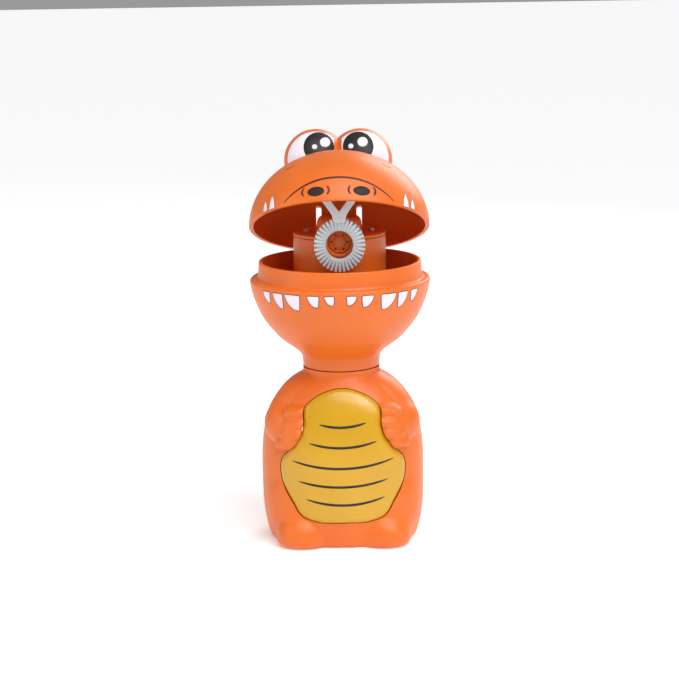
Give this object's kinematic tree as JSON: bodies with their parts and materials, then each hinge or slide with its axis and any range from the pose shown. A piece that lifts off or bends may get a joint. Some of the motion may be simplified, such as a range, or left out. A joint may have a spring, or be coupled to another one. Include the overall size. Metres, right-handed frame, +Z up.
{
  "type": "bubble machine",
  "caption": "Hand-held press-to-blow bubble toy shaped like a round-headed croc; pressing the belly plate opens the jaw, lifts a ring wand and spins a geared fan.",
  "frame": {"origin": "on the surface it stands on, at the middle of the body's base", "axes": "+Z up, the object's longest side; -Y is the front, where the belly plate and mouth face; +X to the right as the front is seen"},
  "size_m": [0.072, 0.0828, 0.162],
  "materials": {
    "orange_plastic": "moulded orange ABS, soft semi-matte",
    "yellow_plastic": "glossy golden yellow moulding",
    "white_plastic": "white moulding, satin",
    "gear_plastic": "natural acetal",
    "inner_plastic": "black moulding inside the body",
    "steel": "plated steel",
    "rubber": "black seal rubber"
  },
  "bodies": {
    "body": {"body_front_shell": "orange_plastic", "body_back_shell": "orange_plastic", "jaw_bowl": "orange_plastic", "air_tower": "orange_plastic", "tower_lid": "orange_plastic", "air_nozzle": "orange_plastic", "air_duct": "white_plastic", "gearbox_inner_plate": "inner_plastic", "gearbox_outer_plate": "inner_plastic", "fan_housing": "inner_plastic", "neck_gasket": "rubber", "tower_gasket": "rubber", "lever_pivot_pin": "steel", "lever_spring": "steel", "rod_spring": "steel", "gear_axle_1": "steel", "gear_axle_2": "steel", "jaw_hinge_pin": "steel", "tower_screw_1": "steel", "tower_screw_2": "steel", "body_screw_1": "steel", "body_screw_2": "steel", "body_screw_3": "steel", "body_screw_4": "steel", "gearbox_screw_1": "steel", "gearbox_screw_2": "steel", "gearbox_screw_3": "steel"},
    "lever": {"lever_frame": "inner_plastic"},
    "plate": {"belly_plate": "yellow_plastic"},
    "push_rod": {"lift_rod": "steel"},
    "jaw": {"upper_jaw": "orange_plastic", "left_eye": "white_plastic", "right_eye": "white_plastic", "bubble_wand": "white_plastic", "wand_screw": "steel"},
    "gear_1": {"drive_gear_1": "gear_plastic"},
    "gear_2": {"drive_gear_2": "gear_plastic"},
    "fan": {"fan_impeller": "white_plastic", "fan_shaft": "steel", "fan_pinion": "gear_plastic"}
  },
  "joints": [
    {"name": "belly_press", "type": "slide", "parent": "body", "child": "plate", "axis": [0, 1, 0], "range_m": [-0.00813, 0], "stiffness_N_per_m": 350, "springref_m": -0.0115},
    {"name": "lever_hinge", "type": "hinge", "parent": "body", "child": "lever", "pos_m": [0, -0.0115, 0.059], "axis": [1, 0, 0], "range_deg": [-18.71, 0]},
    {"name": "rod_lift", "type": "slide", "parent": "body", "child": "push_rod", "axis": [0, 0, 1], "range_m": [-0.00716, 0], "deforming": ["rod_spring"]},
    {"name": "jaw_hinge", "type": "hinge", "parent": "body", "child": "jaw", "pos_m": [0, 0.0435, 0.107], "axis": [1, 0, 0], "range_deg": [0, 25.5]},
    {"name": "gear_1_spin", "type": "hinge", "parent": "body", "child": "gear_1", "pos_m": [0, 0.00886, 0.03864], "axis": [1, 0, 0], "range_deg": [0, 130.91]},
    {"name": "gear_2_spin", "type": "hinge", "parent": "body", "child": "gear_2", "pos_m": [0, -0.00266, 0.03], "axis": [1, 0, 0], "range_deg": [-392.71, 0]},
    {"name": "fan_spin", "type": "hinge", "parent": "body", "child": "fan", "pos_m": [0, 0.005, 0.02], "axis": [1, 0, 0], "range_deg": [0, 981.77]}
  ],
  "couplings": [
    {"joint": "lever_hinge", "follows": "belly_press", "rad_per_m": 40.145},
    {"joint": "rod_lift", "follows": "belly_press", "ratio": 0.8795},
    {"joint": "jaw_hinge", "follows": "belly_press", "rad_per_m": -54.741},
    {"joint": "gear_1_spin", "follows": "belly_press", "rad_per_m": -281.01},
    {"joint": "gear_2_spin", "follows": "belly_press", "rad_per_m": 843.04},
    {"joint": "fan_spin", "follows": "belly_press", "rad_per_m": -2107.6}
  ]
}
